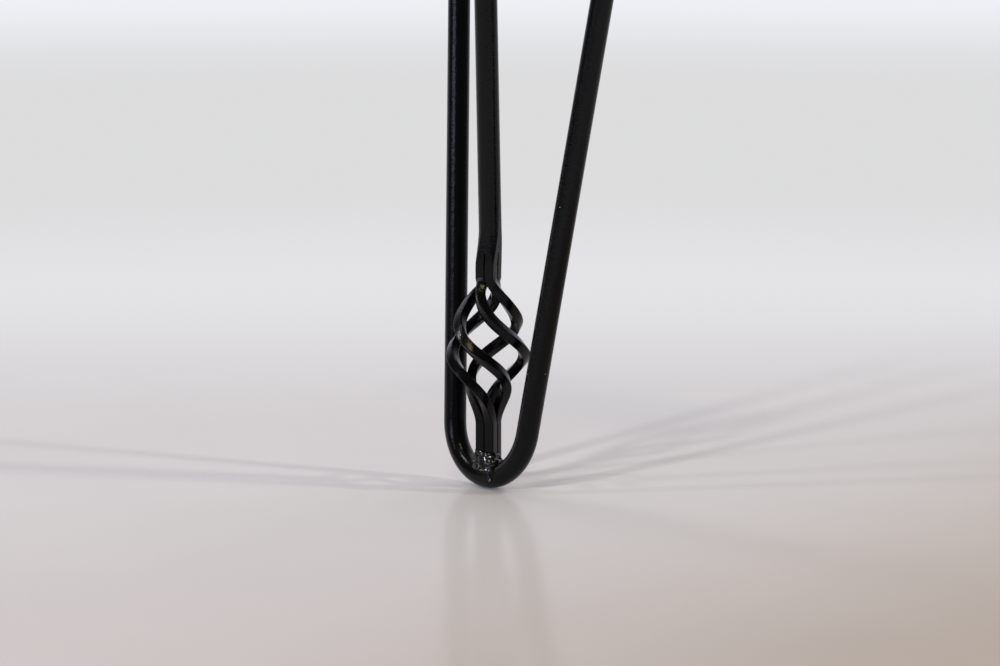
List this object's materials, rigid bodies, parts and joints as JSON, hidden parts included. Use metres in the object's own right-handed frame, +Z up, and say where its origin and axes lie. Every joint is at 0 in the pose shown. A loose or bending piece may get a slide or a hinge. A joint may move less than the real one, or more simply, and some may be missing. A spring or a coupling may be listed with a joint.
{
  "type": "hairpin table leg",
  "caption": "Steel hairpin table leg: a round rod bent into a V, with a centre rod that opens into a forged basket twist above the bend, under a flat screw plate.",
  "frame": {"origin": "middle of the plate's top face, which meets the underside of the table top", "axes": "+Z up, out of the plate towards the table top; +X from the left limb of the hairpin to the right limb; -Y is the side of the centre rod"},
  "size_m": [0.176, 0.0795, 0.4],
  "materials": {
    "black_coat": "satin black powder coat with a fine orange-peel grain"
  },
  "bodies": {
    "root": {"mounting_plate": "black_coat", "hairpin_rod": "black_coat", "centre_rod": "black_coat", "weld_beads": "black_coat"}
  },
  "joints": []
}
